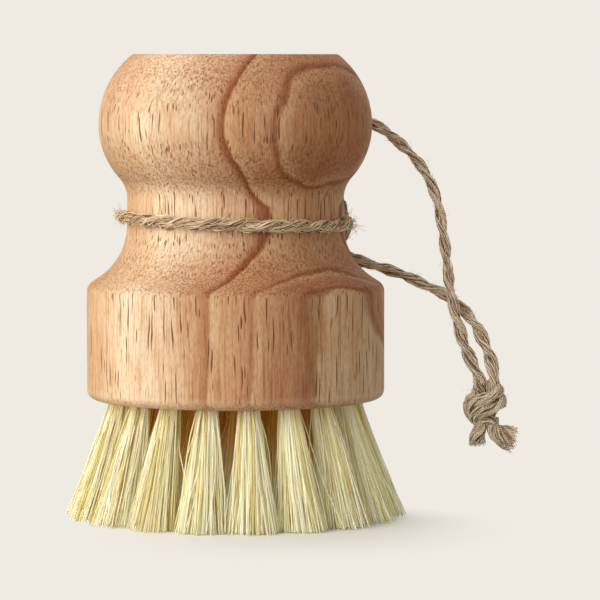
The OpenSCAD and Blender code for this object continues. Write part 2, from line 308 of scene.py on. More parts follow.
def ring_colour(s, mm, x, y, z):
    """Upright growth rings. u and v are the distances from the axis towards the front right and across
    it, and q is u + v * v * RING_BOW, wavered by noise. A ring's edge lies where q is constant. The
    rings lean outwards at the right, low in the base and high in the head, and in the head q also grows
    with the distance up or down from HEAD_MID_Z, which closes a ring into an oval."""
    u = 0.70 * x - 0.71 * y
    v = 0.71 * x + 0.70 * y
    waver = 2.4 * (s.noise(s.stretch(mm, 0.10, 0.10, 0.035), 3) - 0.5)
    fray = 0.25 * (s.noise(s.stretch(mm, 1.3, 1.3, 0.5)) - 0.5)
    bulge = s.remap(abs(z - HEAD_MID_Z), 2, 13.5, 0, HEAD_BULGE, True) * s.remap(v, -17, -9, 0, 1)
    bulge = bulge * s.remap(z, TRIM + 38, TRIM + 42, 0, 1)
    q = u + v * v * RING_BOW + waver + fray + lean(s, v, z, LOW_LEAN) + lean(s, v, z, HEAD_LEAN) + bulge
    q = s.remap(q, Q_LOW, Q_HIGH)
    lines = [(Q_LOW, CLEAR)]
    for start, darkest, end, shade in RING_LINES:
        lines += [(start, CLEAR), (darkest, shade), (end - LINE_EDGE, shade), (end, CLEAR)]
    line_strength = s.remap(z, TRIM + BASE_H, TRIM + BASE_H + 4, 0.4, 1)
    # The ring colours are the grain's own, and partly painted shade on the front right
    return s.mix(line_strength, s.ramp(q, along_q(RING_STOPS_WITH_PAINTED_SHADE)), s.ramp(q, along_q(lines)), "MULTIPLY")


def open_pores(s, mm):
    """The pores, and their pale rims: the middles of long cells that noise pushes about. Some cells
    are left empty, and more of them in some patches than in others."""
    wander = s.noise(s.stretch(mm, 0.3, 0.3, 0.09), 2, "Color")
    shifted = s.node("VectorMath", {"operation": "ADD"}, {0: mm, 1: s.stretch(wander, 1.6, 1.6, 3)})
    cell = s.node("TexVoronoi", {}, {"Vector": s.stretch(shifted, *[1 / c for c in PORE_CELL]),
                                     "Scale": 1.0}, "Distance")
    own = s.node("SeparateColor", {}, {0: Value(s, cell.socket.node.outputs["Color"])}, "Red")
    patch = s.noise(s.stretch(mm, 0.12, 0.12, 0.05), 1)
    kept = own + 1.5 * patch > PORE_EMPTY
    return s.remap(cell, 0.24, 0.38, 1, 0, True) * kept, s.remap(cell, 0.28, 0.46, 1, 0, True) * kept


def wood_material():
    """Turned wood: growth rings, mottling, fine upright streaks and specks, and open pores. Where the
    surface slopes, the cut ends of the grain show as a fine stipple."""
    s = new_material("turned_wood", 0.58, 0.1)
    mm = s.stretch(s.node("TexCoord", {}, {}, "Object"), 1000, 1000, 1000)
    x, y, z = s.split(mm)
    base = ring_colour(s, mm, x, y, z)
    mottle = s.noise(s.stretch(mm, 0.16, 0.16, 0.07), 4)
    base = s.tint(base, mottle, MOTTLE)
    streak = s.noise(s.stretch(mm, 2.4, 2.4, 0.09), 3)
    base = s.tint(base, streak, STREAKS)
    speck = s.noise(s.stretch(mm, 4.0, 4.0, 0.8))
    base = s.tint(base, speck, SPECKS)

    pore, rim = open_pores(s, mm)
    slope = abs(s.split(s.node("NewGeometry", {}, {}, "Normal"))[2])
    base = s.mix(0.2 * rim, base, PORE_RIM)
    base = s.mix(pore * s.remap(slope, 0.1, 0.6, 0.9, 0.6), base, PORE_DARK)
    stipple = s.noise(s.stretch(mm, 2.4, 2.4, 1.6), 3)
    dots = s.remap(stipple, 0.46, 0.64, 0.3, 1) * s.remap(slope, 0.05, 0.6, 0, 0.7)
    base = s.mix(dots, base, s.mix(1.0, base, END_GRAIN, "MULTIPLY"))
    low_edge = s.remap(z, TRIM + 0.2, TRIM + 2.6, 0.5, 0) * s.remap(speck, 0.4, 0.56)
    base = s.mix(low_edge, base, WORN_EDGE)
    s.feed(s.surface.inputs["Base Color"], base)
    height = -0.05 * pore - 0.5 * speck - 0.7 * stipple
    bump = s.node("Bump", {}, {"Height": height, "Distance": 0.00015, "Strength": 0.6})
    s.feed(s.surface.inputs["Normal"], bump)
    return s.owner


# Shades of a fibre along tone: in the open, and close under the wood, where a darker orange is painted
# shade for the shade and the warm light bounced between the tufts
FIBRE_PALE = shades([(0.0, (180, 148, 76)), (0.15, (226, 204, 130)), (0.35, (250, 240, 182)),
                     (0.6, (255, 250, 214)), (1.0, (255, 253, 236))])
FIBRE_PAINTED_SHADE = shades([(0.0, (196, 118, 24)), (0.5, (230, 170, 62)), (1.0, (242, 204, 112))])
FIBRE_GLOW = 0.034
# Shades of the twine along tone: where it hangs loose, and where it is wound tight, which is the same
# jute, darker and warmer with painted shade and painted light bounced from the wood
LOOSE_TWINE = shades([(0.0, (98, 68, 44)), (0.45, (230, 202, 168)), (1.0, (255, 247, 228))])
WOUND_TWINE_PAINTED_SHADE = shades([(0.0, (88, 60, 38)), (0.45, (212, 178, 138)), (1.0, (252, 236, 202))])
BRASS = colour(198, 160, 84)


def fibre_material():
    """Plant fibre: pale where tone is high, and orange where up is high, which is close under the wood
    on the inner tufts: there the orange is painted shade, for the shade and the warm light bounced
    between the tufts. A little light of its own stands for what passes through the fibres."""
    s = new_material("plant_fibre", 0.5, 0.35)
    tone = s.attribute("tone")
    # Painted shade: darker orange close under the wood, where the tufts shade each other
    shade_under_wood = s.remap(s.attribute("up"), 0.85, 1.45, 0, 1, True)
    base = s.mix(shade_under_wood, s.ramp(tone, FIBRE_PALE), s.ramp(tone, FIBRE_PAINTED_SHADE))
    s.feed(s.surface.inputs["Base Color"], base)
    s.feed(s.surface.inputs["Emission Color"], base)
    s.surface.inputs["Emission Strength"].default_value = FIBRE_GLOW
    return s.owner


def twine_material(name, stops):
    """Dull jute, whose shade follows tone along the stops."""
    s = new_material(name, 0.8, 0.15)
    s.feed(s.surface.inputs["Base Color"], s.ramp(s.attribute("tone"), stops))
    return s.owner


def brass_material():
    """Plain brass wire, a little dull."""
    s = new_material("brass_strip", 0.35, 0.5)
    s.surface.inputs["Base Color"].default_value = BRASS
    s.surface.inputs["Metallic"].default_value = 1.0
    return s.owner


def make_piece(name, points, faces, material, values=None, smooth=True):
    """A mesh object from points in millimetres and faces of three or four corners."""
    mesh = bpy.data.meshes.new(name)
    mesh.vertices.add(len(points))
    mesh.vertices.foreach_set("co", (np.asarray(points, np.float32) * MM).ravel())
    size = np.concatenate([np.full(len(block), block.shape[1], np.int32) for block in faces])
    mesh.loops.add(int(size.sum()))
    mesh.loops.foreach_set("vertex_index", np.concatenate([b.ravel() for b in faces]).astype(np.int32))
    mesh.polygons.add(len(size))
    mesh.polygons.foreach_set("loop_start", (np.cumsum(size) - size).astype(np.int32))
    mesh.update(calc_edges=True)
    mesh.polygons.foreach_set("use_smooth", np.full(len(size), smooth, bool))
    for key, array in (values or {}).items():
        mesh.attributes.new(key, "FLOAT", "POINT").data.foreach_set("value", array.astype(np.float32))
    mesh.materials.append(material)
    piece = bpy.data.objects.new(name, mesh)
    bpy.context.scene.collection.objects.link(piece)
    return piece


# The handle: how many points its skin has around and a hole has, how long a step of its outline may
# be, and above which angle in degrees an edge is sharp
AROUND = 256
HOLE_SIDES = 24
LONGEST_STEP = 2.0
SHARP_EDGE = 35


def arc(steps, radius, start, end):
    """Points of an arc between two angles in degrees: the radius times their cosine and sine."""
    turn = np.radians(np.linspace(start, end, steps + 1))
    return radius * np.stack([np.cos(turn), np.sin(turn)], 1)


def sweep_between(low, high, low_r, high_r, steps=20):
    """Two arcs and the straight line that touches both, between two upright stretches of outline. Where
    the arcs are too large for the space between, both shrink by the same share."""
    width = abs(high[0] - low[0])
    rise = high[1] - low[1]
    side = math.copysign(1, high[0] - low[0])
    fit = min(1, 0.999 * (width ** 2 + rise ** 2) / (2 * width * (low_r + high_r)))
    a, b = low_r * fit, high_r * fit
    straight = math.sqrt(width ** 2 - 2 * width * (a + b) + rise ** 2)
    turn = math.degrees(math.atan2(width - a - b, rise) + math.atan2(a + b, straight))
    first = arc(steps, a, 0, turn)
    second = arc(steps, b, turn, 0)
    return np.concatenate([np.array(low) + np.stack([side * (a - first[:, 0]), first[:, 1]], 1),
                           np.array(high) + np.stack([side * (second[:, 0] - b), -second[:, 1]], 1)])


def handle_outline():
    """Radius and height of the wood, from the base's edge to the rim of the flat top: the lower edge,
    the S from base to waist, the S from waist to head, the crown's arc and the upper edge."""
    edge_z = TOP_Z - TOP_EDGE_R
    head_at = TRIM + HEAD_Z
    across, rise = HEAD_R - TOP_R, edge_z - head_at
    crown_r = (across ** 2 + rise ** 2 - TOP_EDGE_R ** 2) / (2 * (across - TOP_EDGE_R))
    crown_end = math.degrees(math.atan2(rise, TOP_R - HEAD_R + crown_r))
    parts = [
        np.array([BASE_R - BASE_EDGE_R, TRIM + BASE_EDGE_R]) + arc(8, BASE_EDGE_R, -90, 0),
        sweep_between((BASE_R, TRIM + BASE_H), (NECK_R, TRIM + NECK_Z), SHOULDER_R, COVE_R),
        sweep_between((NECK_R, TRIM + NECK_Z + NECK_LEN), (HEAD_R, head_at), COLLAR_R, CHIN_R),
        (np.array([HEAD_R - crown_r, head_at]) + arc(20, crown_r, 0, crown_end))[1:],
        (np.array([TOP_R, edge_z]) + arc(8, TOP_EDGE_R, crown_end, 90))[1:]]
    line = np.concatenate(parts)
    dense = [line[:1]]
    for a, b in zip(line[:-1], line[1:]):
        cuts = max(1, math.ceil(np.linalg.norm(b - a) / LONGEST_STEP))
        dense.append(a + (b - a) * np.linspace(0, 1, cuts + 1)[1:, None])
    return np.concatenate(dense)


def tuft_places():
    """Name, ring and angle in radians of every tuft. Ring k has 6 * k tufts, evenly spaced."""
    places = [("tuft_centre", 0, math.radians(-90))]
    for k in range(1, RINGS + 1):
        for i in range(1, 6 * k + 1):
            angle = -90 + RING_TURN * k / RINGS + (i - 1) * 60 / k
            places.append((f"tuft_{RING_NAMES[k]}_{i:02d}", k, math.radians(angle)))
    return places


def hole_rings(k, angle):
    """The mouth and the bottom of a hole in ring k, as rings of points. The hole leans in by the slope
    of its tuft. Its mouth is an ellipse in the level underside, and its bottom a circle square to it."""
    tilt = math.atan2(k * (TIP_PITCH - MOUTH_PITCH), TRIM)
    out = np.array([math.cos(angle), math.sin(angle), 0])
    across = np.array([-math.sin(angle), math.cos(angle), 0])
    axis = np.array([0, 0, math.cos(tilt)]) - math.sin(tilt) * out
    mouth_at = k * MOUTH_PITCH * out + [0, 0, TRIM]
    turn = np.linspace(0, 2 * math.pi, HOLE_SIDES, endpoint=False)[:, None]
    level = np.cos(turn) * out * HOLE_R / math.cos(tilt) + np.sin(turn) * across * HOLE_R
    square = np.cos(turn) * (math.cos(tilt) * out + [0, 0, math.sin(tilt)]) * HOLE_R
    return mouth_at + level, mouth_at + axis * HOLE_DEPTH + square + np.sin(turn) * across * HOLE_R


def make_handle(material):
    """The turned wood: its outline carried round the axis, closed by the flat top and by an underside
    with a bore for every tuft."""
    line = handle_outline()
    turn = np.linspace(0, 2 * math.pi, AROUND, endpoint=False)
    rings = np.stack([np.outer(line[:, 0], np.cos(turn)), np.outer(line[:, 0], np.sin(turn)),
                      np.repeat(line[:, 1:], AROUND, 1)], 2)
    points = [rings.reshape(-1, 3), np.array([[0, 0, TOP_Z]])]
    grid = np.arange(len(line) * AROUND).reshape(len(line), AROUND)
    step = np.roll(grid, -1, 1)
    quads = [np.stack([grid[:-1], step[:-1], step[1:], grid[1:]], 2).reshape(-1, 4)]
    triangles = [np.stack([grid[-1], step[-1], np.full(AROUND, grid.size)], 1)]

    # The walls and bottoms of the holes
    flat = [Vector(p[:2]) for p in rings[0]]
    edges = [(i, (i + 1) % AROUND) for i in range(AROUND)]
    count = grid.size + 1
    holes = []
    for _, k, angle in tuft_places():
        mouth, bottom = hole_rings(k, angle)
        first = len(flat)
        flat += [Vector(p[:2]) for p in mouth]
        edges += [(first + i, first + (i + 1) % HOLE_SIDES) for i in range(HOLE_SIDES)]
        points += [mouth, bottom, bottom.mean(0)[None]]
        top = count + np.arange(HOLE_SIDES)
        low = top + HOLE_SIDES
        quads.append(np.stack([top, low, np.roll(low, -1), np.roll(top, -1)], 1))
        triangles.append(np.stack([low, np.full(HOLE_SIDES, low[-1] + 1), np.roll(low, -1)], 1))
        count += 2 * HOLE_SIDES + 1
        holes.append(mouth.mean(0)[:2])

    # The flat underside: triangles between the rim and the mouths, without those inside a mouth
    spots, _, faces, _, _, _ = geometry.delaunay_2d_cdt(flat, edges, [], 1, 1e-6)
    spots = np.array([(p[0], p[1], TRIM) for p in spots])
    faces = np.array([list(f)[::-1] for f in faces])
    middle = spots[faces].mean(1)[:, :2]
    away = np.linalg.norm(middle[:, None] - np.array(holes)[None], axis=2).min(1)
    points.append(spots)
    triangles.append(faces[away > HOLE_R * 0.97] + count)
    piece = make_piece("turned_handle", np.concatenate(points),
                       [np.concatenate(quads), np.concatenate(triangles)], material)
    piece.data.set_sharp_from_angle(angle=math.radians(SHARP_EDGE))
    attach(piece, "brush")
    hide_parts("handle")


# Tubes round many lines at once
def unit(vectors):
    """Each vector divided by its length."""
    return vectors / np.maximum(np.linalg.norm(vectors, axis=-1, keepdims=True), 1e-9)


def tubes(lines, radii, sides):
    """Points and faces of a tube round each line. lines is tubes x rings x 3, radii tubes x rings. A
    ring's points lie at its radius, at even angles in the plane across the line, and that plane's two
    directions are carried from ring to ring so that the tube doesn't twist."""
    count, rings, _ = lines.shape
    along = unit(np.gradient(lines, axis=1))
    normal = unit(np.cross(along[:, 0], [0.31, 0.94, 0.12]))
    points = np.empty((count, rings, sides, 3))
    turn = np.linspace(0, 2 * math.pi, sides, endpoint=False)
    for i in range(rings):
        normal = unit(normal - (normal * along[:, i]).sum(1, keepdims=True) * along[:, i])
        side = np.cross(along[:, i], normal)
        ring = np.cos(turn)[None, :, None] * normal[:, None] + np.sin(turn)[None, :, None] * side[:, None]
        points[:, i] = lines[:, i, None] + radii[:, i, None, None] * ring
    grid = np.arange(count * rings * sides).reshape(count, rings, sides)
    step = np.roll(grid, -1, 2)
    quads = np.stack([grid[:, :-1], step[:, :-1], step[:, 1:], grid[:, 1:]], 3).reshape(-1, 4)
    caps = [np.stack([grid[:, 0, 0], grid[:, 0, i + 1], grid[:, 0, i]], 1) for i in range(1, sides - 1)]
    caps += [np.stack([grid[:, -1, 0], grid[:, -1, i], grid[:, -1, i + 1]], 1) for i in range(1, sides - 1)]
    return points.reshape(-1, 3), [quads, np.concatenate(caps)]


def spread(values, rings, sides):
    """One value for each tube, or each ring of it, repeated for all its points."""
    return np.repeat(np.broadcast_to(values.reshape(len(values), -1), (len(values), rings)).ravel(), sides)


def strands(lines, radii, tones, sides):
    """Tubes round many lines, and the tone of every point."""
    return (*tubes(lines, radii, sides), spread(tones, lines.shape[1], sides))


# The tufts: fibres in one, rings and sides of a fibre, and the radius of the roots and of the tips
FIBRES = 380
FIBRE_RINGS = 8
FIBRE_SIDES = 4
ROOT_R = 2.2 * 0.86
TIP_R = 4.9
# How much nearer the axis the roots lie than the middle of their hole, ring by ring, and how far up
# into it they reach
ROOT_SHIFT = (0, 0, 0, 0.3)
ROOT_DEPTH = 2.2
# The thinnest and the thickest radius of a fibre, and what it is multiplied by at root and tip
FIBRE_R = (0.08, 0.125)
FIBRE_TAPER = (1.05, 0.82)
# The share of fibres that bow out, that lean over to the next tuft, and that are cut short
STRAYS = 0.06
WILD = 0.016
SHORT = 0.05
# No tip lies further than this from the axis, and no point of a fibre lower than this
SPREAD_R = 33.3
LOWEST = 0.06
GOLDEN_ANGLE = 2.39996
LEVEL = [1, 1, 0]


def sideways(size, count):
    """Random level shifts."""
    return chance.normal(0, size, (count, 3)) * LEVEL


def make_tuft(name, k, angle, material):
    """The fibres of one tuft. Their roots and tips fill a disc evenly: each lies the golden angle
    further round than the last, at a distance that grows with the root of its number. A fibre runs
    straight from root to tip, plus a bow, which is half a sine wave, and a bend, which is a whole one."""
    out = np.array([math.cos(angle), math.sin(angle), 0])
    root_at = (k * MOUTH_PITCH - ROOT_SHIFT[k]) * out + [0, 0, TRIM]
    tip_at = k * TIP_PITCH * out
    place = np.sqrt((np.arange(FIBRES) + 0.5) / FIBRES)
    turn = np.arange(FIBRES) * GOLDEN_ANGLE + chance.uniform(0, 6.28)
    spot = np.stack([np.cos(turn), np.sin(turn), 0 * turn], 1) * place[:, None]
    root = root_at + spot * ROOT_R
    wide = np.clip(chance.normal(0.97, 0.07, FIBRES), 0.7, 1.12)
    tip = tip_at + spot * (TIP_R * wide)[:, None] + sideways(0.4, FIBRES)
    stray = chance.random(FIBRES) < STRAYS
    tip[stray] += sideways(1.3, stray.sum())
    wild = chance.random(FIBRES) < WILD
    tip[wild] += sideways(3.4, wild.sum())
    tip *= np.minimum(1, SPREAD_R / np.linalg.norm(tip[:, :2], axis=1))[:, None]
    tip[:, 2] = np.abs(chance.normal(0, 0.22, FIBRES))
    short = chance.random(FIBRES) < SHORT
    tip[short, 2] += chance.uniform(0.3, 1.6, short.sum())

    t = np.linspace(0, 1, FIBRE_RINGS)[None, :, None]
    buried = root - unit(tip - root) * ROOT_DEPTH
    line = buried[:, None] + (tip - buried)[:, None] * t
    bow = sideways(0.32, FIBRES)
    bow[stray] *= 3
    bow -= spot * 0.25
    line += bow[:, None] * np.sin(math.pi * t) ** 1.3
    line += sideways(0.12, FIBRES)[:, None] * np.sin(2 * math.pi * t)
    line = np.where(line[:, :, 2:] < LOWEST, line * LEVEL + [0, 0, LOWEST], line)
    thick = chance.uniform(*FIBRE_R, FIBRES)[:, None] * np.linspace(*FIBRE_TAPER, FIBRE_RINGS)
    clump = 0.13 * np.sin(4 * turn + chance.uniform(0, 6.28)) * place
    tone = np.clip(chance.normal(chance.normal(0.58, 0.06), 0.26, FIBRES) + clump, 0, 1)
    tone[chance.random(FIBRES) < 0.04] *= 0.5
    points, faces, tone = strands(line, thick, tone, FIBRE_SIDES)
    # up is high close under the wood and on the inner tufts: there the fibres take painted shade
    up = points[:, 2] / TRIM + (0.6 if k < RINGS else 0)
    piece = make_piece(name.replace("tuft", "fibres"), points, faces, material,
                       {"tone": tone, "up": up}, smooth=False)
    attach(piece, "brush")
    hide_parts(name)


# The twine's centre line
def round_waist(row):
    """A point at an angle round the waist, a height above the turn and a number of layers out."""
    angle = math.radians(row[0])
    radius = WRAP_R + row[2] * LAYER
    return [radius * math.cos(angle), radius * math.sin(angle), WRAP_Z + row[1]]


def from_waist(row):
    """A point at a distance out from the waist, a place along Y and a height above the turn."""
    return [NECK_R + row[0], row[1], WRAP_Z + row[2]]


def curve(points, parts):
    """A smooth curve through the points, with each stretch cut into so many parts. Each stretch is a
    cubic in t, whose slope at a point is half the step between that point's two neighbours."""
    p = np.concatenate([points[:1], points, points[-1:]])
    t = np.linspace(0, 1, parts, endpoint=False)[None, :, None]
    a, b, c, d = (p[i:len(p) - 3 + i, None] for i in range(4))
    run = 0.5 * (2 * b + (c - a) * t + (2 * a - 5 * b + 4 * c - d) * t ** 2
                 + (3 * b - a - 3 * c + d) * t ** 3)
    return np.concatenate([run.reshape(-1, points.shape[1]), points[-1:]])


def along_line(line):
    """The distance along the line to each of its points."""
    return np.concatenate([[0], np.cumsum(np.linalg.norm(np.diff(line, axis=0), axis=1))])


def even(line, step):
    """The line cut into even steps."""
    s = along_line(line)
    count = max(2, round(s[-1] / step) + 1)
    at = np.linspace(0, s[-1], count)
    return np.stack([np.interp(at, s, line[:, i]) for i in range(3)], 1)


def twine_route():
    """The whole twine from one entry of the knot to the other, and where its parts meet."""
    upper = np.array([from_waist(row) for row in UPPER])[::-1]
    lower = np.array([from_waist(row) for row in LOWER])
    down = np.array([[0, 0, -TWINE_D / 2]])
    angles = [BEND_END + (HITCH_START - BEND_END) * i / (WRAP_RINGS - 3) for i in range(WRAP_RINGS - 2)]
    turn = [round_waist((a, -WRAP_DIP * math.cos(math.radians(a)), 0)) for a in angles]
    bend = [round_waist(row) for row in BEND]
    hitch = [round_waist(row) for row in HITCH]
    points = np.concatenate([upper[:1] + down, upper, bend, turn, hitch, lower, lower[-1:] + down])
    marks = np.cumsum([1 + len(upper), len(bend) + len(turn) - 1, len(hitch)])
    return points, marks


def steady_frame(line):
    """Two directions across a line, square to each other, that are carried along it without a spin."""
    along = unit(np.gradient(line, axis=0))
    normal = np.empty_like(line)
    normal[0] = unit(np.cross(along[0], [0.1, 1, 0.2]))
    for i in range(1, len(line)):
        normal[i] = unit(normal[i - 1] - (normal[i - 1] @ along[i]) * along[i])
    return normal, np.cross(along, normal)


def across_line(turn, normal, side):
    """The direction across a line at each angle of turn: its cosine of one and its sine of the other."""
    return np.cos(turn)[..., None] * normal + np.sin(turn)[..., None] * side


# The twine's make: the length of one turn of its plies, how far a ply lies off the middle, the radii of
# a ply and of its solid core, the filaments in a ply, and the thickness of a filament
LAY = 11.5
PLY_OFFSET = 0.42
PLY_R = 0.6
CORE_R = 0.46
FILAMENTS = 30
FILAMENT_R = (0.06, 0.13)
# The heights between which the twine grows loose on its way down
LOOSENS = (44, 30)
TWINE_SIDES = 4
# A hair: how far from the twine's middle it starts, its thinnest and thickest radius, and how far from
# the middle it may reach, on the twine and on the knot
HAIR_START = 0.75
HAIR_R = (0.028, 0.055)
HAIR_SIDES = 3
HAIR_RINGS = 6
HAIR_LIMIT = 3.3
KNOT_HAIR_LIMIT = 2.6
# Hairs to the millimetre and how long they grow: on wound twine, on free twine, everywhere on both, on
# the knot and on the tails
WOUND_HAIRS = (10, 1.15)
FREE_HAIRS = (6, 0.7)
SHORT_HAIRS = (5, 0.3)
KNOT_HAIRS = (6, 0.8)
TAIL_HAIRS = (12, 0.8)


def slow_noise(count, s, length, size):
    """For each of count lines, noise along s that changes over about the given length: the sum of two
    sine waves, of which the second is 2.3 times as fast and as much weaker."""
    total = np.zeros((count, len(s)))
    for octave in (1, 2.3):
        turn = chance.uniform(0.7, 1.4, (count, 1)) * 2 * math.pi * octave / length
        total += np.sin(s[None] * turn + chance.uniform(0, 6.28, (count, 1))) / octave
    return total * size / 1.3


def lay_twine(line, s):
    """Lines, radii and tones of the filaments of two-ply twine along a centre line, where s is the
    distance along it. The plies turn like a left-handed screw, and the filaments the other way. The
    twine is looser and paler near the knot."""
    loose = np.clip((LOOSENS[0] - line[:, 2]) / (LOOSENS[0] - LOOSENS[1]), 0, 1)
    thickness = 1.06 + 0.26 * loose
    shade = 0.14 * loose - 0.03
    normal, side = steady_frame(line)
    lines, radii, tones = [], [], []
    for ply in (0, math.pi):
        turn = ply - 2 * math.pi * s / LAY
        swell = 1 + slow_noise(1, s, 9, 0.10)[0]
        offset = PLY_OFFSET * thickness * swell
        centre = line + offset[:, None] * across_line(turn, normal, side)
        seat = np.sqrt(chance.uniform(0.45, 1, FILAMENTS)) * PLY_R
        own = chance.uniform(0, 6.28, FILAMENTS)[:, None] + 2 * math.pi * s[None] / (LAY * 1.9)
        own = own + turn[None] + slow_noise(FILAMENTS, s, 14, 0.5)
        reach = seat[:, None] * thickness[None] + slow_noise(FILAMENTS, s, 6, 0.11)
        lines.append(centre + reach[..., None] * across_line(own, normal, side))
        radii.append(chance.uniform(*FILAMENT_R, (FILAMENTS, 1)) * (1 + slow_noise(FILAMENTS, s, 11, 0.18)))
        own_tone = chance.normal(0.55, 0.24, (FILAMENTS, 1)) + slow_noise(FILAMENTS, s, 5, 0.2)
        tones.append(np.clip(own_tone + shade[None], 0.02, 1))
        # Each ply's solid core is dark: painted shade deep between its filaments
        lines.append(centre[None])
        radii.append(CORE_R * thickness[None])
        tones.append(np.full((1, len(s)), 0.08))
    return np.concatenate(lines), np.concatenate(radii), np.concatenate(tones)


def fuzz(line, per_mm, reach):
    """Loose hairs that stand out of the twine. A hair leaves it at a slant, out and along it, and curls
    to a side of its own with the square of the way along it."""
    count = int(along_line(line)[-1] * per_mm)
    at = chance.integers(2, len(line) - 2, count)
    along = unit(line[at + 1] - line[at - 1])
    away = unit(np.cross(along, chance.normal(0, 1, (count, 3))))
    size = chance.gamma(2.2, reach / 3, count)[:, None, None]
    sense = np.where(chance.random(count) < 0.5, -1, 1)[:, None]
    curl = unit(chance.normal(0, 1, (count, 3)))
    t = np.linspace(0, 1, HAIR_RINGS)[None, :, None]
    run = line[at][:, None] + away[:, None] * (HAIR_START + size * 0.75 * t ** 1.2)
    run = run + (along * sense)[:, None] * size * 1.2 * t + curl[:, None] * size * 0.5 * t ** 2
    thick = chance.uniform(*HAIR_R, (count, 1)) * np.linspace(1, 0.55, HAIR_RINGS)
    return run, thick, np.clip(chance.normal(0.8, 0.15, count), 0, 1)


def keep_near(run, line, most):
    """Hairs pulled in where they stand further than most from the nearest point of the line."""
    flat = run.reshape(-1, 3)
    near = np.empty_like(flat)
    for first in range(0, len(flat), 2000):
        block = flat[first:first + 2000]
        gap = np.linalg.norm(block[:, None] - line[None, ::2], axis=2)
        near[first:first + 2000] = line[::2][gap.argmin(1)]
    gap = flat - near
    far = np.linalg.norm(gap, axis=1, keepdims=True)
    return (near + gap * np.minimum(1, most / np.maximum(far, 1e-6))).reshape(run.shape)


def pressed(points):
    """Points near the waist, drawn in as twine is that is pulled tight round it. A point moves in by a
    share of 0.7 mm that grows with its distance from the wood, and away from the turn's middle height
    by a share of its rise that fades as a bell curve does."""
    away = np.linalg.norm(points[..., :2], axis=-1) - NECK_R
    near = np.clip((4.6 - away) / 2.0, 0, 1)
    near = near * near * (3 - 2 * near)
    drawn = 0.7 * (1 - np.exp(-np.maximum(away, 0) / 0.6)) * near
    middle = WRAP_Z - WRAP_DIP * points[..., 0] / (away + NECK_R)
    rise = points[..., 2] - middle
    spread_z = 0.24 * rise * np.exp(-(rise / 2.2) ** 2) * near
    return np.stack([points[..., 0] * (1 - drawn / (away + NECK_R)),
                     points[..., 1] * (1 - drawn / (away + NECK_R)), points[..., 2] + spread_z], -1)


def loose_hairs(line, per_mm, reach, most):
    """The hairs of a line, as tubes, none further than most from it."""
    run, thick, pale = fuzz(line, per_mm, reach)
    return strands(keep_near(run, line, most), thick, pale, HAIR_SIDES)


def twine_piece(name, line, s, material, long_hairs):
    """A stretch of twine with its long and its short hairs."""
    lines, radii, tones = lay_twine(line, s)
    parts = [strands(pressed(lines), radii, tones, TWINE_SIDES),
             loose_hairs(line, *long_hairs, HAIR_LIMIT), loose_hairs(line, *SHORT_HAIRS, HAIR_LIMIT)]
    return joined(name, parts, material)


def joined(name, parts, material):
    """One piece of twine from several sets of points, faces and tones, in place of its node."""
    start = 0
    points, quads, triangles, tones = [], [], [], []
    for places, faces, tone in parts:
        points.append(places)
        quads.append(faces[0] + start)
        triangles.append(faces[1] + start)
        tones.append(tone)
        start += len(places)
    piece = make_piece("twine_" + name, np.concatenate(points),
                       [np.concatenate(quads), np.concatenate(triangles)], material,
                       {"tone": np.concatenate(tones)})
    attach(piece, "twine")
    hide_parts(name)
    return piece


# The doubled twine's way through the knot, from its top to its underside. Each row: a place from the
# knot's centre, and the direction that faces out of the knot there.
KNOT_ROUTE = [
    (0, 0, 4.3, 0, -1, 0), (0, 0.2, 3.2, 0, -1, 0), (0, 0.5, 1.6, 0, -1, 0), (-0.1, 0.7, 0, 0, -1, 0),
    (-0.2, 0.9, -1.6, 0, -1, -0.3), (-1.2, 1.6, -2.6, -0.6, 0.5, -0.8), (-2.5, 1.5, -1.6, -1, 0.6, -0.2),
    (-2.5, 1.8, 0.2, -1, 0.8, 0.1), (-1.2, 2.4, 1.6, -0.3, 1, 0.3), (0.9, 2.2, 2.4, 0.3, 1, 0.4),
    (2.3, 1.0, 2.3, 1, 0.4, 0.4), (2.6, -0.9, 1.6, 1, -0.5, 0.2), (1.5, -2.2, 0.9, 0.5, -1, 0),
    (-0.3, -2.6, 0.2, 0, -1, 0), (-1.9, -1.9, -0.6, -0.7, -0.8, 0), (-2.7, -0.4, -1.5, -1, -0.1, -0.2),
    (-2.1, 0.8, -2.5, -0.7, 0.1, -0.7), (-0.6, 0.2, -3.2, 0, -0.7, -0.7), (0, -0.3, -4.3, 0, -1, 0)]
STRAND_APART = 1.1
# Where a strand enters the knot, the knot's own filaments start thin inside it and grow over this length
KNOT_LEAD = 1.9
# A dark core fills the knot, as painted shade between its turns: heights from its middle, and radii there
KNOT_CORE = [(2.4, 0.6), (1.2, 2.0), (-1.2, 2.0), (-2.4, 0.6)]
CORE_SIDES = 12
# How finely the twine's curve and its stretches are cut
CURVE_PARTS = 10
KNOT_PARTS = 8
FINE_STEP = 0.32
WRAP_STEP = 0.5
# The tails: their filaments, and how far these spread at the tips of the short and of the long one
TAIL_FILAMENTS = 190
TAIL_R = 1.05
SHORT_SPREAD = 1.9
LONG_SPREAD = 3.0


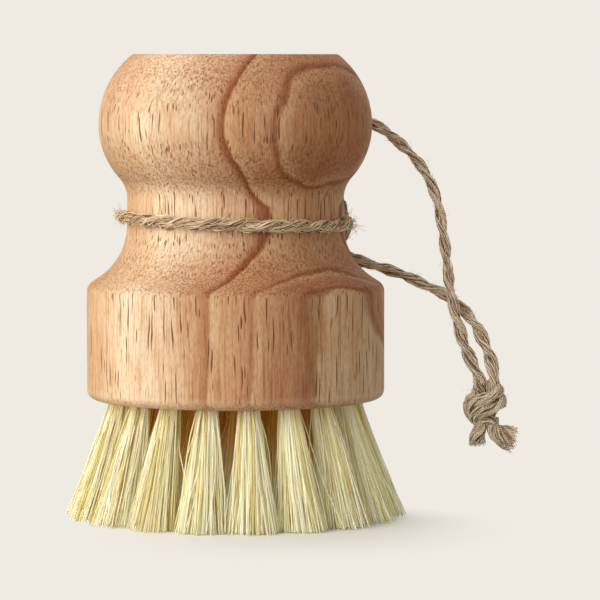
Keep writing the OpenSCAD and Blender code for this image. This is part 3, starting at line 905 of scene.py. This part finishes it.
def make_twine():
    """The whole twine: its four stretches from knot to knot, the end knot and the two tails."""
    loose = twine_material("jute_twine", LOOSE_TWINE)
    # The wound twine: the same jute, darker and warmer with painted shade and painted bounce light from the
    # wood
    wound_painted_shade = twine_material("jute_twine_wound_painted_shade", WOUND_TWINE_PAINTED_SHADE)
    points, marks = twine_route()
    smooth = curve(points, CURVE_PARTS)
    s = along_line(smooth)
    cuts = [0, *[m * CURVE_PARTS for m in marks], len(smooth) - 1]
    names = ("upper_strand", "neck_wrap", "half_hitch", "lower_strand")
    for name, first, last in zip(names, cuts[:-1], cuts[1:]):
        line = even(smooth[first:last + 1], WRAP_STEP if name == "neck_wrap" else FINE_STEP)
        at = s[first] + along_line(line)
        wound = name in ("neck_wrap", "half_hitch")
        twine_piece(name, line, at, wound_painted_shade if wound else loose,
                                   WOUND_HAIRS if wound else FREE_HAIRS)
    knot_top = (points[1] + points[-2]) / 2 + [0, 0, -TWINE_D / 2]
    knot = make_knot(points, knot_top, loose)
    bottom = knot_top - [0, 0, KNOT_H]
    tails = [make_tail("short_tail", bottom + [-TAIL_APART, 0, 0], SHORT_TAIL, SHORT_SPREAD, loose),
             make_tail("long_tail", bottom + [TAIL_APART, 0, 0], LONG_TAIL, LONG_SPREAD, loose)]


def make_knot(points, top, material):
    """The end knot. Both strands run side by side along its route, each STRAND_APART to its own side of
    it, and across is square to the route and to the direction that faces out of the knot."""
    centre = top - [0, 0, KNOT_H / 2]
    rows = curve(np.array(KNOT_ROUTE, float), KNOT_PARTS)
    middle = centre + rows[:, :3]
    across = unit(np.cross(np.gradient(middle, axis=0), rows[:, 3:]))
    # The knot's dark core: painted shade inside the knot
    core = np.array([[0, 0, height] for height, _ in KNOT_CORE]) + centre
    parts = [strands(core[None], np.array([[radius for _, radius in KNOT_CORE]]), np.array([0.05]),
                     CORE_SIDES)]
    for sense, above, entry in ((1, points[1], points[0]), (-1, points[-2], points[-1])):
        shift = sense * STRAND_APART * across
        run = np.concatenate([above[None], entry[None], (middle + shift)[KNOT_PARTS::5]])
        run = even(curve(run, KNOT_PARTS), 0.3)
        laid, radii, tones = lay_twine(run, along_line(run))
        grown = np.clip(0.35 + along_line(run) / KNOT_LEAD, 0, 1)
        laid = run + (laid - run) * grown[:, None]
        parts.append(strands(laid, radii * grown, tones, TWINE_SIDES))
        parts.append(loose_hairs(run, *KNOT_HAIRS, KNOT_HAIR_LIMIT))
    return joined("end_knot", parts, material)


def make_tail(name, start, route, spread_r, material):
    """A frayed end: filaments that leave the knot together, wind a little round the tail's middle and
    part towards their tips, where they reach spread_r. Each is cut off at its own share of the length."""
    base = even(curve(np.array(route, float) + start, KNOT_PARTS), 0.4)
    normal, side = steady_frame(base)
    t = np.linspace(0, 1, len(base))
    turn = chance.uniform(0, 6.28, TAIL_FILAMENTS)[:, None] + 2.5 * t[None]
    seat = np.sqrt(chance.uniform(0, 1, TAIL_FILAMENTS))[:, None]
    reach = seat * (TAIL_R + (spread_r - TAIL_R) * t[None] ** 0.8)
    reach = reach + slow_noise(TAIL_FILAMENTS, along_line(base), 5, 0.08)
    run = base + reach[..., None] * across_line(turn, normal, side)
    last = chance.uniform(0.72, 1.0, TAIL_FILAMENTS)
    places = last[:, None] * np.arange(len(base))[None]
    low = np.floor(places).astype(int)
    high = np.minimum(low + 1, len(base) - 1)
    part = (places - low)[:, :, None]
    rows = np.arange(TAIL_FILAMENTS)[:, None]
    run = run[rows, low] * (1 - part) + run[rows, high] * part
    run = np.concatenate([run[:, :1] + [0, 0, 1.5], run], 1)
    rings = run.shape[1]
    thick = chance.uniform(0.06, 0.12, (TAIL_FILAMENTS, 1)) * np.linspace(1, 0.6, rings)
    tone = chance.normal(0.6, 0.22, (TAIL_FILAMENTS, 1))
    tone = tone + slow_noise(TAIL_FILAMENTS, np.arange(rings) * 0.4, 3, 0.2)
    parts = [strands(run, thick, np.clip(tone, 0, 1), TWINE_SIDES),
             loose_hairs(base, *TAIL_HAIRS, KNOT_HAIR_LIMIT)]
    return joined(name, parts, material)


# The paper all round, and the light
PAPER = colour(239, 235, 226)
SKY = (1, 0.985, 0.96, 1)
SKY_STRENGTH = 0.37
# Name, strength, width in degrees and the direction that the light travels in
SUNS = [("key", 3.3, 60, (0.72, 0.55, -0.32)), ("fill", 0.1, 60, (-0.35, 0.9, -0.3)),
        ("top", 1.0, 60, (0.25, -0.35, -0.9))]
# Where the floor shades itself: a centre and two distances in metres, and the floor's colour there
SHADE_CENTRE = (0.009, -0.025, 0)
SHADE_REACH = (0.015, 0.047)
SHADE_PAPER = colour(238, 234, 226)
# The floor's colour as the brush sees it, and half its width in millimetres
BOUNCE_PAPER = colour(180, 174, 162)
FLOOR_HALF = 20000


def light_scene():
    """Pale paper all round as seen, a plain sky as light, and three wide suns."""
    scene = bpy.context.scene
    scene.view_settings.view_transform = "Standard"
    scene.world = bpy.data.worlds.new("surround")
    s = Nodes(scene.world)
    light = s.tree.nodes["Background"]
    light.inputs["Color"].default_value = SKY
    light.inputs["Strength"].default_value = SKY_STRENGTH
    paper = s.node("Background", {}, {"Color": PAPER})
    both = s.node("MixShader", {}, {0: s.seen(), 1: Value(s, light.outputs[0]), 2: paper})
    s.feed(s.tree.nodes["World Output"].inputs["Surface"], both)
    for name, strength, width, towards in SUNS:
        sun = bpy.data.objects.new(name, bpy.data.lights.new(name, "SUN"))
        sun.data.energy = strength
        sun.data.angle = math.radians(width)
        sun.rotation_euler = Vector(towards).to_track_quat("-Z", "Y").to_euler()
        scene.collection.objects.link(sun)


def make_floor():
    """A wide sheet of paper. Near the brush it takes light and shadow, and further off it is as bright
    as the paper behind it. Light that falls on the brush from it comes from plain pale paper."""
    s = new_material("paper", 1.0, 0.0)
    place = s.node("VectorMath", {"operation": "SUBTRACT"},
                   {0: s.node("TexCoord", {}, {}, "Object"), 1: SHADE_CENTRE})
    away = s.node("VectorMath", {"operation": "LENGTH"}, {0: place}, "Value")
    near = s.remap(away, *SHADE_REACH, 1, 0, True)
    black = (0, 0, 0, 1)
    s.feed(s.surface.inputs["Base Color"], s.mix(near, black, SHADE_PAPER))
    s.feed(s.surface.inputs["Emission Color"], s.mix(near, PAPER, black))
    s.surface.inputs["Emission Strength"].default_value = 1
    plain = s.node("BsdfDiffuse", {}, {"Color": BOUNCE_PAPER})
    both = s.node("MixShader", {}, {0: s.seen(), 1: plain, 2: Value(s, s.surface.outputs[0])})
    s.feed(s.tree.nodes["Material Output"].inputs["Surface"], both)
    corners = np.array([[-1, -1, 0], [1, -1, 0], [1, 1, 0], [-1, 1, 0]]) * FLOOR_HALF
    make_piece("floor", corners, [np.array([[0, 1, 2, 3]])], s.owner, smooth=False)


# The order of these calls sets the order of the random draws
place_camera()
make_twine()
wood = wood_material()
fibre = fibre_material()
make_handle(wood)
for tuft, ring, angle in tuft_places():
    make_tuft(tuft, ring, angle, fibre)
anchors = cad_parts["anchor_strips"]
anchors.data.materials.clear()
anchors.data.materials.append(brass_material())
light_scene()
make_floor()
